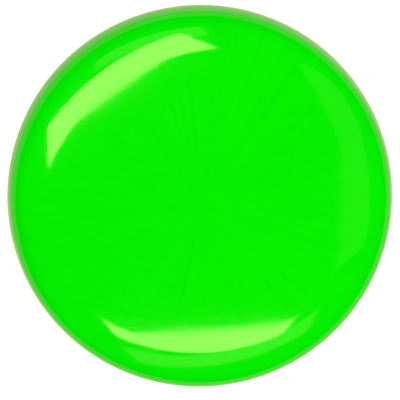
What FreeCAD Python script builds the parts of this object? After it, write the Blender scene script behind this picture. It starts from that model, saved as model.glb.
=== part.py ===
import FreeCAD, Part
import math
import os
import Sketcher

# A one-piece moulded flying disc: a thin domed plate whose edge turns down into a thick rim.
# +Z is up, the disc stands on its lip at Z = 0, and the Z axis is its axis of revolution.
# Lengths are in millimetres and angles in degrees.

SIZES = {
    "disc_diameter": 235.0,        # across the widest part of the rim
    "disc_height": 32.5,           # from the foot of the lip to the middle of the dome
    "crown_radius": 850.0,         # sphere that the dome is cut from
    "shoulder_width": 17.0,        # radial width of the band that leads the dome into the brow
    "shoulder_radius": 150.0,
    "brow_radius": 12.0,           # where the top turns down into the rim
    "wall_radius": 50.0,           # the bow of the outer wall, down to the widest line
    "plate_thickness": 1.7,
    "brow_thickness": 2.2,         # the plate is thicker where it turns down
    "rim_thickness": 5.2,          # rim at its foot, from the cheek to the widest line
    "cheek_draft": 2.0,            # the inner wall opens downwards to leave its core
    "grip_radius": 3.0,            # inside corner, where the fingers curl
    "lip_outer_radius": 2.6,
    "lip_inner_radius": 1.4,
    "parting_step": 0.1,           # the two halves of the mould never match exactly
    "parting_land": 0.5,
    "gate_pad_diameter": 16.0,     # thicker spot under the middle, where the plastic comes in
    "gate_pad_depth": 0.6,
    "gate_pad_radius": 0.4,
    "gate_stub_diameter": 3.2,     # what is left of the trimmed sprue
    "gate_stub_depth": 0.7,
    "pin_mark_diameter": 8.0,      # witness pads left by the ejector pins
    "pin_mark_depth": 0.2,
    "pin_mark_circle": 128.0,
    "pin_mark_count": 6,
}

START, END, CENTRE = 1, 2, 3       # how a sketch names the points of a curve
ORIGIN, X_AXIS, Y_AXIS = -1, -1, -2


def make_sheet(doc):
    sheet = doc.addObject("Spreadsheet::Sheet", "sizes")
    for row, (name, value) in enumerate(SIZES.items(), start=1):
        sheet.set(f"A{row}", name)
        sheet.set(f"B{row}", str(value))
        sheet.setAlias(f"B{row}", name)
    doc.recompute()
    return sheet


def origin_plane(body, role):
    return next(item for item in body.Origin.OriginFeatures if item.Role == role)


def add_sketch(body, name, role):
    sketch = body.newObject("Sketcher::SketchObject", name)
    sketch.AttachmentSupport = [(origin_plane(body, role), "")]
    sketch.MapMode = "FlatFace"
    return sketch


def constrain(sketch, kind, *args):
    return sketch.addConstraint(Sketcher.Constraint(kind, *args))


def dimension(sketch, name, kind, *args, formula=None):
    """A constraint whose value is the sheet's cell of the same name, or a formula of cells."""
    index = constrain(sketch, kind, *args)
    sketch.renameConstraint(index, name)
    sketch.setExpression(f"Constraints.{name}", formula or f"sizes.{name}")


def arc(centre, radius, low, high):
    """Arc in the sketch plane, from angle low to angle high, both in degrees."""
    circle = Part.Circle(FreeCAD.Vector(centre[0], centre[1], 0), FreeCAD.Vector(0, 0, 1), radius)
    return Part.ArcOfCircle(circle, math.radians(low), math.radians(high))


def line(start, end):
    return Part.LineSegment(FreeCAD.Vector(*start, 0), FreeCAD.Vector(*end, 0))


def polar(centre, radius, angle):
    turn = math.radians(angle)
    return (centre[0] + radius * math.cos(turn), centre[1] + radius * math.sin(turn))


def profile_start(sheet):
    """Curves close to the finished half section; the constraints then settle them exactly."""
    half = sheet.disc_diameter / 2
    top = sheet.disc_height
    foot = sheet.lip_outer_radius + sheet.parting_land

    crown_reach = half - sheet.shoulder_width - sheet.brow_radius
    crown_side = math.degrees(math.acos(crown_reach / sheet.crown_radius))
    crown_centre = (0, top - sheet.crown_radius)
    crown_edge = polar(crown_centre, sheet.crown_radius, crown_side)
    shoulder_centre = polar(crown_edge, sheet.shoulder_radius, crown_side + 180)
    reach = crown_edge[0] + sheet.shoulder_width - shoulder_centre[0]
    shoulder_side = math.degrees(math.acos(reach / sheet.shoulder_radius))
    shoulder_edge = polar(shoulder_centre, sheet.shoulder_radius, shoulder_side)

    wall_centre = (half - sheet.wall_radius, foot)
    brow_rise = polar(shoulder_edge, sheet.brow_radius, shoulder_side + 180)[1] - foot
    wall_top = math.degrees(math.asin(brow_rise / (sheet.wall_radius - sheet.brow_radius)))
    brow_centre = polar(wall_centre, sheet.wall_radius - sheet.brow_radius, wall_top)
    brow_inside = sheet.brow_radius - sheet.brow_thickness

    cheek = half - sheet.rim_thickness
    grip_centre_x = cheek - sheet.grip_radius
    grip_reach = brow_inside - sheet.grip_radius
    grip_side = math.degrees(math.acos((grip_centre_x - brow_centre[0]) / grip_reach))
    grip_centre = polar(brow_centre, grip_reach, grip_side)
    draft = sheet.cheek_draft
    lip_edge = half - sheet.parting_step
    lip_outer = (lip_edge - sheet.lip_outer_radius, sheet.lip_outer_radius)
    lip_inner = (cheek + sheet.lip_inner_radius, sheet.lip_inner_radius)
    crown_inside = sheet.crown_radius - sheet.plate_thickness
    shoulder_inside = sheet.shoulder_radius - sheet.plate_thickness
    crown_corner = polar(crown_centre, crown_inside, crown_side)
    return {
        "crown": arc(crown_centre, sheet.crown_radius, crown_side, 90),
        "shoulder": arc(shoulder_centre, sheet.shoulder_radius, shoulder_side, crown_side),
        "brow": arc(brow_centre, sheet.brow_radius, wall_top, shoulder_side),
        "wall": arc(wall_centre, sheet.wall_radius, 0, wall_top),
        "step": line((half, foot), (lip_edge, foot)),
        "land": line((lip_edge, foot), (lip_edge, sheet.lip_outer_radius)),
        "lip_out": arc(lip_outer, sheet.lip_outer_radius, 270, 360),
        "seat": line((lip_outer[0], 0), (lip_inner[0], 0)),
        "lip_in": arc(lip_inner, sheet.lip_inner_radius, 180 + draft, 270),
        "cheek": line(polar(lip_inner, sheet.lip_inner_radius, 180 + draft),
                      polar(grip_centre, sheet.grip_radius, draft)),
        "grip": arc(grip_centre, sheet.grip_radius, draft, grip_side),
        "brow_under": arc(brow_centre, brow_inside, grip_side, shoulder_side),
        "shoulder_under": arc(shoulder_centre, shoulder_inside, shoulder_side, crown_side),
        "crown_under": arc(crown_centre, crown_inside, crown_side, 90),
        "axis": line((0, top - sheet.plate_thickness), (0, top)),
        "crown_normal": line(crown_corner, crown_edge),
        "brow_normal": line(polar(brow_centre, brow_inside, shoulder_side), shoulder_edge),
    }


def draw_profile(sketch, sheet):
    curve = {}
    for name, shape in profile_start(sheet).items():
        guide = name.endswith("_normal")
        curve[name] = sketch.addGeometry(shape, guide)

    # The outline in order; neighbours meet in a smooth tangent unless they are listed as corners.
    tangent_pairs = [
        ("crown", START, "shoulder", END), ("shoulder", START, "brow", END),
        ("brow", START, "wall", END), ("land", END, "lip_out", END),
        ("lip_out", START, "seat", START), ("seat", END, "lip_in", END),
        ("lip_in", START, "cheek", START), ("cheek", END, "grip", START),
        ("grip", END, "brow_under", START), ("brow_under", END, "shoulder_under", START),
        ("shoulder_under", END, "crown_under", START),
    ]
    corner_pairs = [
        ("wall", START, "step", START), ("step", END, "land", START),
        ("crown_under", END, "axis", START), ("axis", END, "crown", END),
        ("crown_under", CENTRE, "crown", CENTRE), ("brow_under", CENTRE, "brow", CENTRE),
        ("crown_normal", START, "crown_under", START), ("crown_normal", END, "crown", START),
        ("brow_normal", END, "brow", END),
    ]
    for first, first_point, second, second_point in tangent_pairs:
        constrain(sketch, "Tangent", curve[first], first_point, curve[second], second_point)
    for first, first_point, second, second_point in corner_pairs:
        constrain(sketch, "Coincident", curve[first], first_point, curve[second], second_point)

    constrain(sketch, "PointOnObject", curve["crown"], CENTRE, Y_AXIS)
    constrain(sketch, "PointOnObject", curve["crown"], END, Y_AXIS)
    constrain(sketch, "PointOnObject", curve["crown_under"], END, Y_AXIS)
    constrain(sketch, "PointOnObject", curve["crown"], CENTRE, curve["crown_normal"])
    constrain(sketch, "PointOnObject", curve["brow"], CENTRE, curve["brow_normal"])
    constrain(sketch, "PointOnObject", curve["brow_normal"], START, curve["brow_under"])
    constrain(sketch, "PointOnObject", curve["seat"], START, X_AXIS)
    constrain(sketch, "Horizontal", curve["seat"])
    constrain(sketch, "Horizontal", curve["wall"], CENTRE, curve["wall"], START)
    constrain(sketch, "Horizontal", curve["step"])
    constrain(sketch, "Vertical", curve["land"])

    def size(name, kind, *args, formula=None):
        dimension(sketch, name, kind, *args, formula=formula)

    size("disc_radius", "DistanceX", ORIGIN, START, curve["wall"], START, sheet.disc_diameter / 2,
         formula="sizes.disc_diameter / 2")
    size("disc_height", "DistanceY", ORIGIN, START, curve["crown"], END, sheet.disc_height)
    size("crown_radius", "Radius", curve["crown"], sheet.crown_radius)
    size("shoulder_radius", "Radius", curve["shoulder"], sheet.shoulder_radius)
    size("shoulder_width", "DistanceX", curve["crown"], START, curve["shoulder"], START,
         sheet.shoulder_width)
    size("wall_radius", "Radius", curve["wall"], sheet.wall_radius)
    size("brow_radius", "Radius", curve["brow"], sheet.brow_radius)
    size("parting_step", "DistanceX", curve["step"], END, curve["step"], START, sheet.parting_step)
    size("parting_land", "DistanceY", curve["land"], END, curve["land"], START, sheet.parting_land)
    size("lip_outer_radius", "Radius", curve["lip_out"], sheet.lip_outer_radius)
    size("lip_inner_radius", "Radius", curve["lip_in"], sheet.lip_inner_radius)
    size("cheek_lean", "Angle", curve["cheek"], math.radians(90 + sheet.cheek_draft),
         formula="90 deg + sizes.cheek_draft * 1 deg")
    size("rim_thickness", "DistanceX", curve["cheek"], START, curve["wall"], START,
         sheet.rim_thickness)
    size("grip_radius", "Radius", curve["grip"], sheet.grip_radius)
    size("plate_thickness", "DistanceY", curve["axis"], START, curve["axis"], END,
         sheet.plate_thickness)
    size("brow_thickness", "Distance", curve["brow_normal"], sheet.brow_thickness)


def add_shell(body, sheet):
    sketch = add_sketch(body, "half_section", "XZ_Plane")
    draw_profile(sketch, sheet)
    shell = body.newObject("PartDesign::Revolution", "shell")
    shell.Profile = sketch
    shell.ReferenceAxis = (sketch, ["V_Axis"])
    shell.Angle = 360
    return shell


def add_pad(body, name, diameter, depth, spot, lean=None):
    """A round pad that stands below the plate and is rooted in the middle of its thickness.

    Every value is a formula of cells: spot is the pad's foot in X and Z, lean its turn about Y.
    """
    sketch = add_sketch(body, name + "_outline", "XY_Plane")
    sketch.addGeometry(Part.Circle(FreeCAD.Vector(), FreeCAD.Vector(0, 0, 1), 1), False)
    constrain(sketch, "Coincident", 0, CENTRE, ORIGIN, START)
    dimension(sketch, "width", "Diameter", 0, 2, formula=diameter)
    if lean:
        sketch.AttachmentOffset = FreeCAD.Placement(
            FreeCAD.Vector(), FreeCAD.Rotation(FreeCAD.Vector(0, 1, 0), 1))
        sketch.setExpression(".AttachmentOffset.Rotation.Angle", lean)
    sketch.setExpression(".AttachmentOffset.Base.x", spot[0])
    sketch.setExpression(".AttachmentOffset.Base.z", spot[1])
    pad = body.newObject("PartDesign::Pad", name)
    pad.Profile = sketch
    pad.setExpression("Length", f"{depth} + sizes.plate_thickness / 2")
    return pad


def add_gate(body):
    under = "sizes.disc_height - sizes.plate_thickness"
    add_pad(body, "gate_pad", "sizes.gate_pad_diameter", "sizes.gate_pad_depth",
            ("0", f"{under} - sizes.gate_pad_depth"))
    body.Document.recompute()
    pad = body.Tip
    edge = lowest_circle(pad.Shape, body.Document.sizes.gate_pad_diameter / 2)
    fillet = body.newObject("PartDesign::Fillet", "gate_pad_edge")
    fillet.Base = (pad, [edge])
    fillet.setExpression("Radius", "sizes.gate_pad_radius")
    depth = "(sizes.gate_pad_depth + sizes.gate_stub_depth)"
    add_pad(body, "gate_stub", "sizes.gate_stub_diameter", depth, ("0", f"{under} - {depth}"))


def lowest_circle(shape, radius):
    """Name of the circular edge of this radius that lies lowest."""
    found = []
    for number, edge in enumerate(shape.Edges, start=1):
        if edge.Degenerated or not isinstance(edge.Curve, Part.Circle):
            continue
        if abs(edge.Curve.Radius - radius) < 1e-6:
            found.append((edge.Curve.Center.z, f"Edge{number}"))
    return min(found)[1]


def add_pin_marks(body):
    ring = "(sizes.pin_mark_circle / 2)"
    inside = "(sizes.crown_radius - sizes.plate_thickness)"
    foot = f"({inside} - sizes.pin_mark_depth)"
    lean = f"asin({ring} / {inside})"
    mark = add_pad(body, "pin_mark", "sizes.pin_mark_diameter", "sizes.pin_mark_depth",
                   (f"{foot} * sin({lean})",
                    f"sizes.disc_height - sizes.crown_radius + {foot} * cos({lean})"), lean)
    marks = body.newObject("PartDesign::PolarPattern", "pin_marks")
    marks.Originals = [mark]
    marks.Axis = (origin_plane(body, "Z_Axis"), [""])
    marks.Angle = 360
    marks.setExpression("Occurrences", "sizes.pin_mark_count")
    body.Tip = marks


def make_disc(doc, sheet):
    body = doc.addObject("PartDesign::Body", "flying_disc")
    body.Label = "flying_disc"
    body.Placement = FreeCAD.Placement()
    add_shell(body, sheet)
    doc.recompute()
    add_gate(body)
    add_pin_marks(body)
    doc.recompute()
    return body


def check(doc, bodies):
    for item in doc.Objects:
        if "Invalid" in item.State or "Error" in item.State:
            raise RuntimeError(f"{item.Label} did not build: {item.State}")
        if item.isDerivedFrom("Sketcher::SketchObject") and not item.FullyConstrained:
            raise RuntimeError(f"{item.Label} is not fully constrained")
    for body in bodies:
        if body.Shape.isNull() or not body.Shape.isValid():
            raise RuntimeError(f"{body.Label} is not a valid shape")
        if len(body.Shape.Solids) != 1:
            raise RuntimeError(f"{body.Label} is not one solid")


def main():
    doc = FreeCAD.newDocument("flying_disc_model")
    sheet = make_sheet(doc)
    bodies = [make_disc(doc, sheet)]
    check(doc, bodies)
    os.makedirs("parts", exist_ok=True)
    for body in bodies:
        body.Shape.exportStep(f"parts/{body.Label}.step")
        box = body.Shape.optimalBoundingBox()
        print(f"{body.Label}: {box.XLength:.1f} x {box.YLength:.1f} x {box.ZLength:.1f} mm,"
              f" {body.Shape.Volume / 1000:.1f} cm3")


main()
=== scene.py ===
import math

import bmesh
import bpy
from mathutils import Matrix, Vector


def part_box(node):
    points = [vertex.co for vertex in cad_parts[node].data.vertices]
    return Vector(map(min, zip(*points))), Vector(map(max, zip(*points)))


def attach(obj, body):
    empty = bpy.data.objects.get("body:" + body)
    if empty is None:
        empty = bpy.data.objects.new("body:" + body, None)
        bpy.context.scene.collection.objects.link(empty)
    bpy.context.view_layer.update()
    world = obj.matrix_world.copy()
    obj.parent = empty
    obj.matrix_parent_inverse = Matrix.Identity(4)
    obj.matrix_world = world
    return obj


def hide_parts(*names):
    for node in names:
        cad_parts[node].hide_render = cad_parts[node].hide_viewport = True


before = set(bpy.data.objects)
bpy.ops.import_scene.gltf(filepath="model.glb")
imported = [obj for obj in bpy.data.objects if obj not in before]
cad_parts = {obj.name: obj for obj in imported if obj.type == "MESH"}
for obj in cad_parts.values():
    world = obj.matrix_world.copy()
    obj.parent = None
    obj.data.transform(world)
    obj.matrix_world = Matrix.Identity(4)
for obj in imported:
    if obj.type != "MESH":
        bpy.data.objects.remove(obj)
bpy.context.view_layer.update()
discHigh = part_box("flying_disc")[1]
print("frame loaded")


def node(tree, kind, inputs=None, **settings):
    made = tree.nodes.new(kind)
    for name, value in settings.items():
        setattr(made, name, value)
    for name, value in (inputs or {}).items():
        socket = made.inputs[name]
        if isinstance(value, bpy.types.NodeSocket):
            tree.links.new(value, socket)
        else:
            socket.default_value = value
    return made


plasticLook = {
    "green": (0.0, 0.86, 0.0, 1.0),
    "deepGreen": (0.0, 0.82, 0.0, 1.0),
    "glossTint": (1.0, 1.0, 0.36, 1.0),  # highlights lean to yellow
    "refraction": 1.5,
    "edgeGlow": 0.6,  # the dye glows yellow where the surface turns away
    "edgeTint": (1.0, 0.95, 0.0, 1.0),
    "edgeRoughness": 0.3,
    "cloudScale": 9.0,  # slow drift of the dye, about 110 mm across
    "flowScale": 26.0,  # streaks that run out from the gate
    "peelScale": 420.0,  # about 2.4 mm of orange peel
    "scuffScale": 55.0,
    "scuffTurn": 0.6,
    "scuffStretch": 14.0,
    "turningPitch": 5200.0,  # rings about 1.2 mm apart
    "toneRange": (0.12, 0.38),
    "scuffRange": (0.35, 0.8),
}


def radialCoordinates(tree):
    place = node(tree, "ShaderNodeTexCoord").outputs["Object"]
    flat = node(tree, "ShaderNodeVectorMath", {0: place, 1: (1, 1, 0)}, operation="MULTIPLY").outputs[0]
    reach = node(tree, "ShaderNodeVectorMath", {0: flat}, operation="LENGTH").outputs["Value"]
    aim = node(tree, "ShaderNodeVectorMath", {0: flat}, operation="NORMALIZE").outputs[0]
    return place, reach, aim


def mouldedPlastic(name, surface):
    look = plasticLook
    roughLow, roughHigh = surface["roughness"]
    material = bpy.data.materials.new(name)
    material.use_nodes = True
    tree = material.node_tree
    shader = tree.nodes["Principled BSDF"]
    place, reach, aim = radialCoordinates(tree)
    cloud = node(tree, "ShaderNodeTexNoise", {"Vector": place, "Scale": look["cloudScale"], "Detail": 3.0})
    streaks = node(tree, "ShaderNodeTexNoise",
                   {"Vector": aim, "Scale": look["flowScale"], "Detail": 4.0, "Roughness": 0.6})
    tone = node(tree, "ShaderNodeMath", {0: cloud.outputs["Fac"], 1: streaks.outputs["Fac"]},
                operation="MULTIPLY")
    toneRange = node(tree, "ShaderNodeMapRange",
                     {"Value": tone.outputs[0], "From Min": look["toneRange"][0],
                      "From Max": look["toneRange"][1]})
    colour = node(tree, "ShaderNodeMix", {0: toneRange.outputs[0], 6: look["deepGreen"], 7: look["green"]},
                  data_type="RGBA")
    tree.links.new(colour.outputs[2], shader.inputs["Base Color"])

    scuffMap = node(tree, "ShaderNodeMapping", {"Vector": place, "Rotation": (0, 0, look["scuffTurn"]),
                                                "Scale": (1.0, look["scuffStretch"], 1.0)})
    scuffs = node(tree, "ShaderNodeTexNoise",
                  {"Vector": scuffMap.outputs[0], "Scale": look["scuffScale"], "Detail": 5.0})
    scuffRange = node(tree, "ShaderNodeMapRange",
                      {"Value": scuffs.outputs["Fac"], "From Min": look["scuffRange"][0],
                       "From Max": look["scuffRange"][1], "To Min": roughLow, "To Max": roughHigh})
    tree.links.new(scuffRange.outputs[0], shader.inputs["Roughness"])

    peel = node(tree, "ShaderNodeTexNoise", {"Vector": place, "Scale": look["peelScale"], "Detail": 2.0})
    turned = node(tree, "ShaderNodeMath", {0: reach, 1: look["turningPitch"]}, operation="MULTIPLY")
    rings = node(tree, "ShaderNodeMath", {0: turned.outputs[0]}, operation="SINE")
    ringBump = node(tree, "ShaderNodeBump", {"Height": rings.outputs[0], "Distance": surface["turned"],
                                             "Strength": 1.0})
    peelBump = node(tree, "ShaderNodeBump", {"Height": peel.outputs["Fac"], "Distance": surface["peel"],
                                             "Strength": 1.0, "Normal": ringBump.outputs[0]})
    tree.links.new(peelBump.outputs[0], shader.inputs["Normal"])
    shader.inputs["IOR"].default_value = look["refraction"]
    shader.inputs["Specular Tint"].default_value = look["glossTint"]
    shader.inputs["Sheen Weight"].default_value = look["edgeGlow"]
    shader.inputs["Sheen Roughness"].default_value = look["edgeRoughness"]
    shader.inputs["Sheen Tint"].default_value = look["edgeTint"]
    return material


topSurface = {"roughness": (0.04, 0.09), "peel": 0.0000012, "turned": 0.0}
underSurface = {"roughness": (0.26, 0.42), "peel": 0.000012, "turned": 0.0000025}
polishedGreen = mouldedPlastic("polishedGreen", topSurface)
satinGreen = mouldedPlastic("satinGreen", underSurface)
print("finishes made")


# the disc is one half section, drawn with straight runs and arcs, then spun
disc = {
    "crownRadius": 0.850,
    "shoulderWidth": 0.017,
    "shoulderRadius": 0.150,
    "browRadius": 0.012,
    "wallRadius": 0.050,
    "plate": 0.0017,
    "browWall": 0.0022,
    "rim": 0.0052,
    "cheekDraft": math.radians(2),
    "gripRadius": 0.003,
    "lipOutRadius": 0.0026,
    "lipInRadius": 0.0014,
    "step": 0.0001,
    "land": 0.0005,
    "gatePadRadius": 0.008,
    "gatePadDrop": 0.0006,
    "gatePadEdge": 0.0004,
    "stubRadius": 0.0016,
    "stubDrop": 0.0007,
    "sides": 320,
    "sharp": math.radians(28),
    "merge": 1e-7,
    "crownSides": (math.radians(83.0), math.radians(84.8)),  # the crown's edge lies between these
    "halvings": 60,
}

steps = {"crown": 26, "shoulder": 14, "brow": 26, "wall": 8, "lipOut": 8, "lipIn": 6, "grip": 8,
         "underBrow": 6, "underShoulder": 6, "underCrown": 14, "padEdge": 4}


def polar(centre, radius, angle):
    return Vector((centre[0] + radius * math.cos(angle), 0.0, centre[2] + radius * math.sin(angle)))


def solveArcs(edge, top):
    crownCentre = Vector((0, 0, top - disc["crownRadius"]))
    wallCentre = Vector((edge - disc["wallRadius"], 0, disc["lipOutRadius"] + disc["land"]))

    def chain(crownSide):
        crownEdge = polar(crownCentre, disc["crownRadius"], crownSide)
        shoulderCentre = polar(crownCentre, disc["crownRadius"] - disc["shoulderRadius"], crownSide)
        reach = crownEdge.x + disc["shoulderWidth"] - shoulderCentre.x
        shoulderSide = math.acos(reach / disc["shoulderRadius"])
        browCentre = polar(shoulderCentre, disc["shoulderRadius"] - disc["browRadius"], shoulderSide)
        return shoulderCentre, shoulderSide, browCentre

    def gap(crownSide):
        return (chain(crownSide)[2] - wallCentre).length - (disc["wallRadius"] - disc["browRadius"])

    low, high = disc["crownSides"]
    for _ in range(disc["halvings"]):
        middle = (low + high) / 2
        if gap(low) * gap(middle) <= 0:
            high = middle
        else:
            low = middle
    shoulderCentre, shoulderSide, browCentre = chain(low)
    reach = browCentre - wallCentre
    return {"crown": crownCentre, "shoulder": shoulderCentre, "brow": browCentre, "wall": wallCentre,
            "crownSide": low, "shoulderSide": shoulderSide, "browSide": math.atan2(reach.z, reach.x)}


def drawTo(bm, last, point):
    made = bmesh.ops.extrude_vert_indiv(bm, verts=[last])["verts"][0]
    made.co = point
    return made


def sweepTo(bm, last, centre, endAngle, count):  # keeps the last point's distance from the centre
    arm = last.co - centre
    turn = endAngle - math.atan2(arm.z, arm.x)
    if turn > math.pi:
        turn -= 2 * math.pi
    if turn < -math.pi:
        turn += 2 * math.pi
    swept = bmesh.ops.spin(bm, geom=[last], cent=centre, axis=(0, -1, 0), angle=turn, steps=count)
    return swept["geom_last"][0]


def shadeSmooth(bm):
    for face in bm.faces:
        face.smooth = True
    for line in bm.edges:
        line.smooth = line.calc_face_angle(0) < disc["sharp"]


def makeDisc(edge, top):
    arcs = solveArcs(edge, top)
    foot = disc["lipOutRadius"] + disc["land"]
    cheek = edge - disc["rim"]
    underBrow = disc["browRadius"] - disc["browWall"]
    gripX = cheek - disc["gripRadius"]
    gripSide = math.acos((gripX - arcs["brow"].x) / (underBrow - disc["gripRadius"]))
    gripCentre = polar(arcs["brow"], underBrow - disc["gripRadius"], gripSide)
    lipOut = Vector((edge - disc["step"] - disc["lipOutRadius"], 0, disc["lipOutRadius"]))
    lipIn = Vector((cheek + disc["lipInRadius"], 0, disc["lipInRadius"]))
    underCrown = disc["crownRadius"] - disc["plate"]
    padZ = top - disc["plate"] - disc["gatePadDrop"]
    padSide = math.acos(disc["gatePadRadius"] / underCrown)

    bm = bmesh.new()
    last = bm.verts.new((0, 0, top))
    last = sweepTo(bm, last, arcs["crown"], arcs["crownSide"], steps["crown"])
    last = sweepTo(bm, last, arcs["shoulder"], arcs["shoulderSide"], steps["shoulder"])
    last = sweepTo(bm, last, arcs["brow"], arcs["browSide"], steps["brow"])
    last = sweepTo(bm, last, arcs["wall"], 0.0, steps["wall"])
    last = drawTo(bm, last, Vector((edge - disc["step"], 0, foot)))
    last = drawTo(bm, last, Vector((edge - disc["step"], 0, disc["lipOutRadius"])))
    last = sweepTo(bm, last, lipOut, -math.pi / 2, steps["lipOut"])
    last = drawTo(bm, last, Vector((lipIn.x, 0, 0)))
    last = sweepTo(bm, last, lipIn, math.pi + disc["cheekDraft"], steps["lipIn"])
    last = drawTo(bm, last, polar(gripCentre, disc["gripRadius"], disc["cheekDraft"]))
    last = sweepTo(bm, last, gripCentre, gripSide, steps["grip"])
    last = sweepTo(bm, last, arcs["brow"], arcs["shoulderSide"], steps["underBrow"])
    last = sweepTo(bm, last, arcs["shoulder"], arcs["crownSide"], steps["underShoulder"])
    last = sweepTo(bm, last, arcs["crown"], padSide, steps["underCrown"])
    last = drawTo(bm, last, Vector((disc["gatePadRadius"], 0, padZ + disc["gatePadEdge"])))
    padCorner = Vector((disc["gatePadRadius"] - disc["gatePadEdge"], 0, padZ + disc["gatePadEdge"]))
    last = sweepTo(bm, last, padCorner, -math.pi / 2, steps["padEdge"])
    last = drawTo(bm, last, Vector((disc["stubRadius"], 0, padZ)))
    last = drawTo(bm, last, Vector((disc["stubRadius"], 0, padZ - disc["stubDrop"])))
    last = drawTo(bm, last, Vector((0, 0, padZ - disc["stubDrop"])))

    bmesh.ops.remove_doubles(bm, verts=bm.verts, dist=disc["merge"])
    bmesh.ops.spin(bm, geom=bm.verts[:] + bm.edges[:], cent=(0, 0, 0), axis=(0, 0, 1),
                   angle=2 * math.pi, steps=disc["sides"], use_merge=True)
    bmesh.ops.remove_doubles(bm, verts=bm.verts, dist=disc["merge"])
    bmesh.ops.recalc_face_normals(bm, faces=bm.faces)
    for face in bm.faces:
        middle = face.calc_center_median()
        outward = face.normal.x * middle.x + face.normal.y * middle.y
        face.material_index = int(face.normal.z < -0.01 or outward < 0 or middle.z < foot)
    shadeSmooth(bm)
    return bm


def finishPiece(name, bm, materials):
    mesh = bpy.data.meshes.new(name)
    bm.to_mesh(mesh)
    bm.free()
    for material in materials:
        mesh.materials.append(material)
    piece = bpy.data.objects.new(name, mesh)
    bpy.context.scene.collection.objects.link(piece)
    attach(piece, "root")
    return piece


discShell = finishPiece("disc_shell", makeDisc(discHigh.x, discHigh.z), [polishedGreen, satinGreen])
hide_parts("flying_disc")
print("disc made:", len(discShell.data.polygons), "faces")


# marks of the ejector pins, placed for disc["plate"]; the shell is thicker there, so they lie inside it
pinMark = {"count": 6, "radius": 0.004, "proud": 0.0002, "sunk": 0.0004, "circle": 0.064, "edge": 0.00005,
           "sides": 64, "corner": 1.0}


def makePinMarks(top):
    inner = disc["crownRadius"] - disc["plate"]
    lean = math.asin(pinMark["circle"] / inner)
    bm = bmesh.new()
    middle = inner - pinMark["proud"] + (pinMark["proud"] + pinMark["sunk"]) / 2
    for number in range(pinMark["count"]):
        turn = Matrix.Rotation(2 * math.pi * number / pinMark["count"], 4, "Z")
        place = (turn @ Matrix.Translation((0, 0, top - disc["crownRadius"]))
                 @ Matrix.Rotation(lean, 4, "Y") @ Matrix.Translation((0, 0, middle)))
        bmesh.ops.create_cone(bm, cap_ends=True, segments=pinMark["sides"], radius1=pinMark["radius"],
                              radius2=pinMark["radius"], depth=pinMark["proud"] + pinMark["sunk"],
                              matrix=place)
    rims = [e for e in bm.edges if e.calc_face_angle(0) > pinMark["corner"]]
    bmesh.ops.bevel(bm, geom=rims, offset=pinMark["edge"], segments=2, profile=0.5,
                    affect="EDGES", material=-1)
    shadeSmooth(bm)
    return bm


pinMarks = finishPiece("pin_marks", makePinMarks(discHigh.z), [satinGreen])
print("pin marks made")


room = {"floorSize": 60.0, "floorColour": (0.55, 0.55, 0.55, 1.0), "glow": 1.22, "glowShare": 0.75,
        "shineShare": 0.15, "ambient": 0.28, "horizon": 0.35, "horizonEnd": 0.12,
        "floorDrop": 0.0002, "white": (1, 1, 1, 1)}


def makeFloor():
    bm = bmesh.new()
    bmesh.ops.create_grid(bm, x_segments=1, y_segments=1, size=room["floorSize"] / 2,
                          matrix=Matrix.Translation((0, 0, -room["floorDrop"])))
    mesh = bpy.data.meshes.new("floor")
    bm.to_mesh(mesh)
    bm.free()
    material = bpy.data.materials.new("paleFloor")
    material.use_nodes = True
    tree = material.node_tree
    tree.nodes.clear()
    matt = node(tree, "ShaderNodeBsdfDiffuse", {"Color": room["floorColour"]})
    glow = node(tree, "ShaderNodeEmission", {"Color": room["white"], "Strength": room["glow"]})
    ray = node(tree, "ShaderNodeLightPath").outputs
    seen = node(tree, "ShaderNodeMath", {0: ray["Is Camera Ray"], 1: ray["Is Transmission Ray"]},
                operation="MAXIMUM")
    direct = node(tree, "ShaderNodeMath", {0: seen.outputs[0], 1: room["glowShare"]}, operation="MULTIPLY")
    shine = node(tree, "ShaderNodeMath", {0: ray["Is Glossy Ray"], 1: room["shineShare"]},
                 operation="MULTIPLY")
    share = node(tree, "ShaderNodeMath", {0: direct.outputs[0], 1: shine.outputs[0]}, operation="MAXIMUM")
    both = node(tree, "ShaderNodeMixShader", {0: share.outputs[0], 1: matt.outputs[0], 2: glow.outputs[0]})
    node(tree, "ShaderNodeOutputMaterial", {"Surface": both.outputs[0]})
    mesh.materials.append(material)
    floor = bpy.data.objects.new("floor", mesh)
    bpy.context.scene.collection.objects.link(floor)


def makeWorld():
    world = bpy.data.worlds.new("studio")
    bpy.context.scene.world = world
    world.use_nodes = True
    tree = world.node_tree
    tree.nodes.clear()
    ray = node(tree, "ShaderNodeLightPath").outputs
    up = node(tree, "ShaderNodeSeparateXYZ",
              {0: node(tree, "ShaderNodeTexCoord").outputs["Generated"]}).outputs["Z"]
    backdrop = node(tree, "ShaderNodeMapRange", {"Value": up, "From Min": 0.0, "From Max": room["horizonEnd"],
                                                 "To Min": room["horizon"], "To Max": 0.0})
    shine = node(tree, "ShaderNodeMath", {0: backdrop.outputs[0], 1: ray["Is Glossy Ray"]},
                 operation="MULTIPLY")
    soft = node(tree, "ShaderNodeMath", {0: ray["Is Diffuse Ray"], 1: room["ambient"]},
                operation="MULTIPLY")
    unseen = node(tree, "ShaderNodeMath", {0: shine.outputs[0], 1: soft.outputs[0]}, operation="ADD")
    total = node(tree, "ShaderNodeMath", {0: unseen.outputs[0], 1: ray["Is Camera Ray"]},
                 operation="MAXIMUM")
    light = node(tree, "ShaderNodeBackground", {"Color": room["white"], "Strength": total.outputs[0]})
    node(tree, "ShaderNodeOutputWorld", {"Surface": light.outputs[0]})


makeFloor()
makeWorld()
print("floor and world made")


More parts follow.
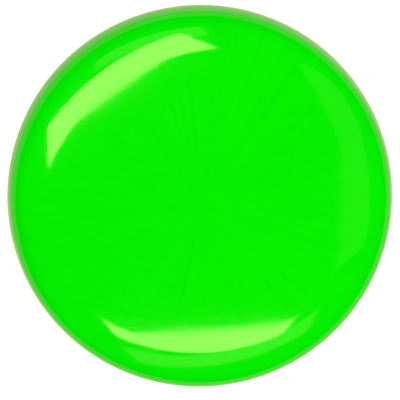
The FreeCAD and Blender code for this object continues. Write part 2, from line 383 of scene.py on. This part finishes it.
# lamps hang above the camera; places and sizes are shares of the height they hang at
lampHeight = 3.2
lamps = {
    "fill": {"at": (0.28, 0.1), "size": (1.8, 1.8), "turn": 0, "radiance": 1.12, "shine": False,
             "height": 4.4},
    "upperBox": {"at": (-0.163, 0.121), "size": (0.476, 0.165), "turn": 35, "radiance": 7.6, "shine": True},
    "lowerBox": {"at": (0.036, -0.474), "size": (0.42, 0.085), "turn": 3, "radiance": 7.6, "shine": True},
    "sidePanel": {"at": (0.43, -0.05), "size": (0.22, 0.55), "turn": 0, "radiance": 0.25, "shine": True},
    "topPanel": {"at": (-0.11, 0.303), "size": (0.34, 0.10), "turn": 15, "radiance": 0.8, "shine": True},
    "footPanel": {"at": (0.10, -0.60), "size": (0.55, 0.13), "turn": 15, "radiance": 0.9, "shine": True},
}


def hangLamp(name, lamp):
    light = bpy.data.lights.new(name, "AREA")
    light.shape = "RECTANGLE"
    height = lamp.get("height", lampHeight)
    light.size = lamp["size"][0] * height
    light.size_y = lamp["size"][1] * height
    light.energy = lamp["radiance"] * math.pi * light.size * light.size_y
    rig = bpy.data.objects.new(name, light)
    rig.location = (lamp["at"][0] * height, lamp["at"][1] * height, height)
    rig.rotation_euler = (0, 0, math.radians(lamp["turn"]))
    rig.visible_glossy = lamp["shine"]
    rig.visible_camera = False
    bpy.context.scene.collection.objects.link(rig)


for lampName, lamp in lamps.items():
    hangLamp(lampName, lamp)
print("lamps hung")


shot = {"lean": math.radians(9.7), "side": math.radians(105), "distance": 1.9, "width": 0.2427,
        "slide": (-0.0006, 0.0001), "sensor": 36.0, "reach": 100.0}


def placeCamera():
    back = Vector((math.sin(shot["lean"]) * math.cos(shot["side"]),
                   math.sin(shot["lean"]) * math.sin(shot["side"]), math.cos(shot["lean"])))
    right = Vector((0, 1, 0)).cross(back).normalized()
    up = back.cross(right)
    aim = Vector((0, 0, discHigh.z / 2)) + right * shot["slide"][0] + up * shot["slide"][1]
    data = bpy.data.cameras.new("studioCamera")
    data.sensor_width = shot["sensor"]
    data.lens = data.sensor_width * shot["distance"] / shot["width"]
    data.clip_end = shot["reach"]
    camera = bpy.data.objects.new("studioCamera", data)
    camera.matrix_world = Matrix.Translation(aim + back * shot["distance"]) @ Matrix(
        (right, up, back)).transposed().to_4x4()
    bpy.context.scene.collection.objects.link(camera)
    bpy.context.scene.camera = camera


placeCamera()
bpy.context.scene.view_settings.view_transform = "Standard"
print("camera placed")
